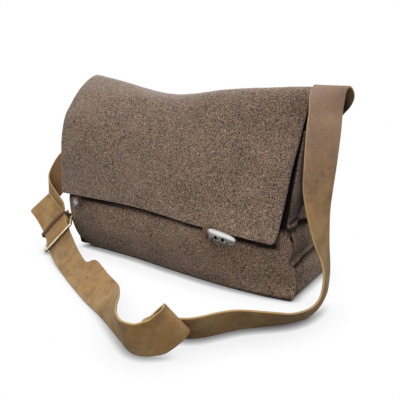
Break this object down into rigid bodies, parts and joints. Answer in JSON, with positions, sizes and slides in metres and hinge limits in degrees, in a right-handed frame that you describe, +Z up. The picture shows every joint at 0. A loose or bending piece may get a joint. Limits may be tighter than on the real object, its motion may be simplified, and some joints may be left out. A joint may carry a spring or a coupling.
{
  "type": "hunting bag",
  "caption": "Felt shoulder bag with a full front flap on horn toggles, a gusset of felt and a leather strap with a brass buckle, strap lying in front.",
  "frame": {"origin": "middle of the bag's flat base, on the floor", "axes": "+X to the right of the front, +Y to the back, +Z up"},
  "size_m": [0.4889, 0.335, 0.2648],
  "materials": {
    "felt": "thick heathered wool felt",
    "strap_leather": "nubuck",
    "brass": "worn bright",
    "keeper_leather": "dark, waxed",
    "horn": "polished horn",
    "loop_leather": "smooth"
  },
  "bodies": {
    "root": {"back_and_flap": "felt", "front_panel": "felt", "gusset": "felt", "strap_long": "strap_leather", "strap_short": "strap_leather", "buckle_frame": "brass", "keeper": "keeper_leather", "toggle_left": "horn", "toggle_right": "horn", "loop_left": "loop_leather", "loop_right": "loop_leather"}
  },
  "joints": []
}
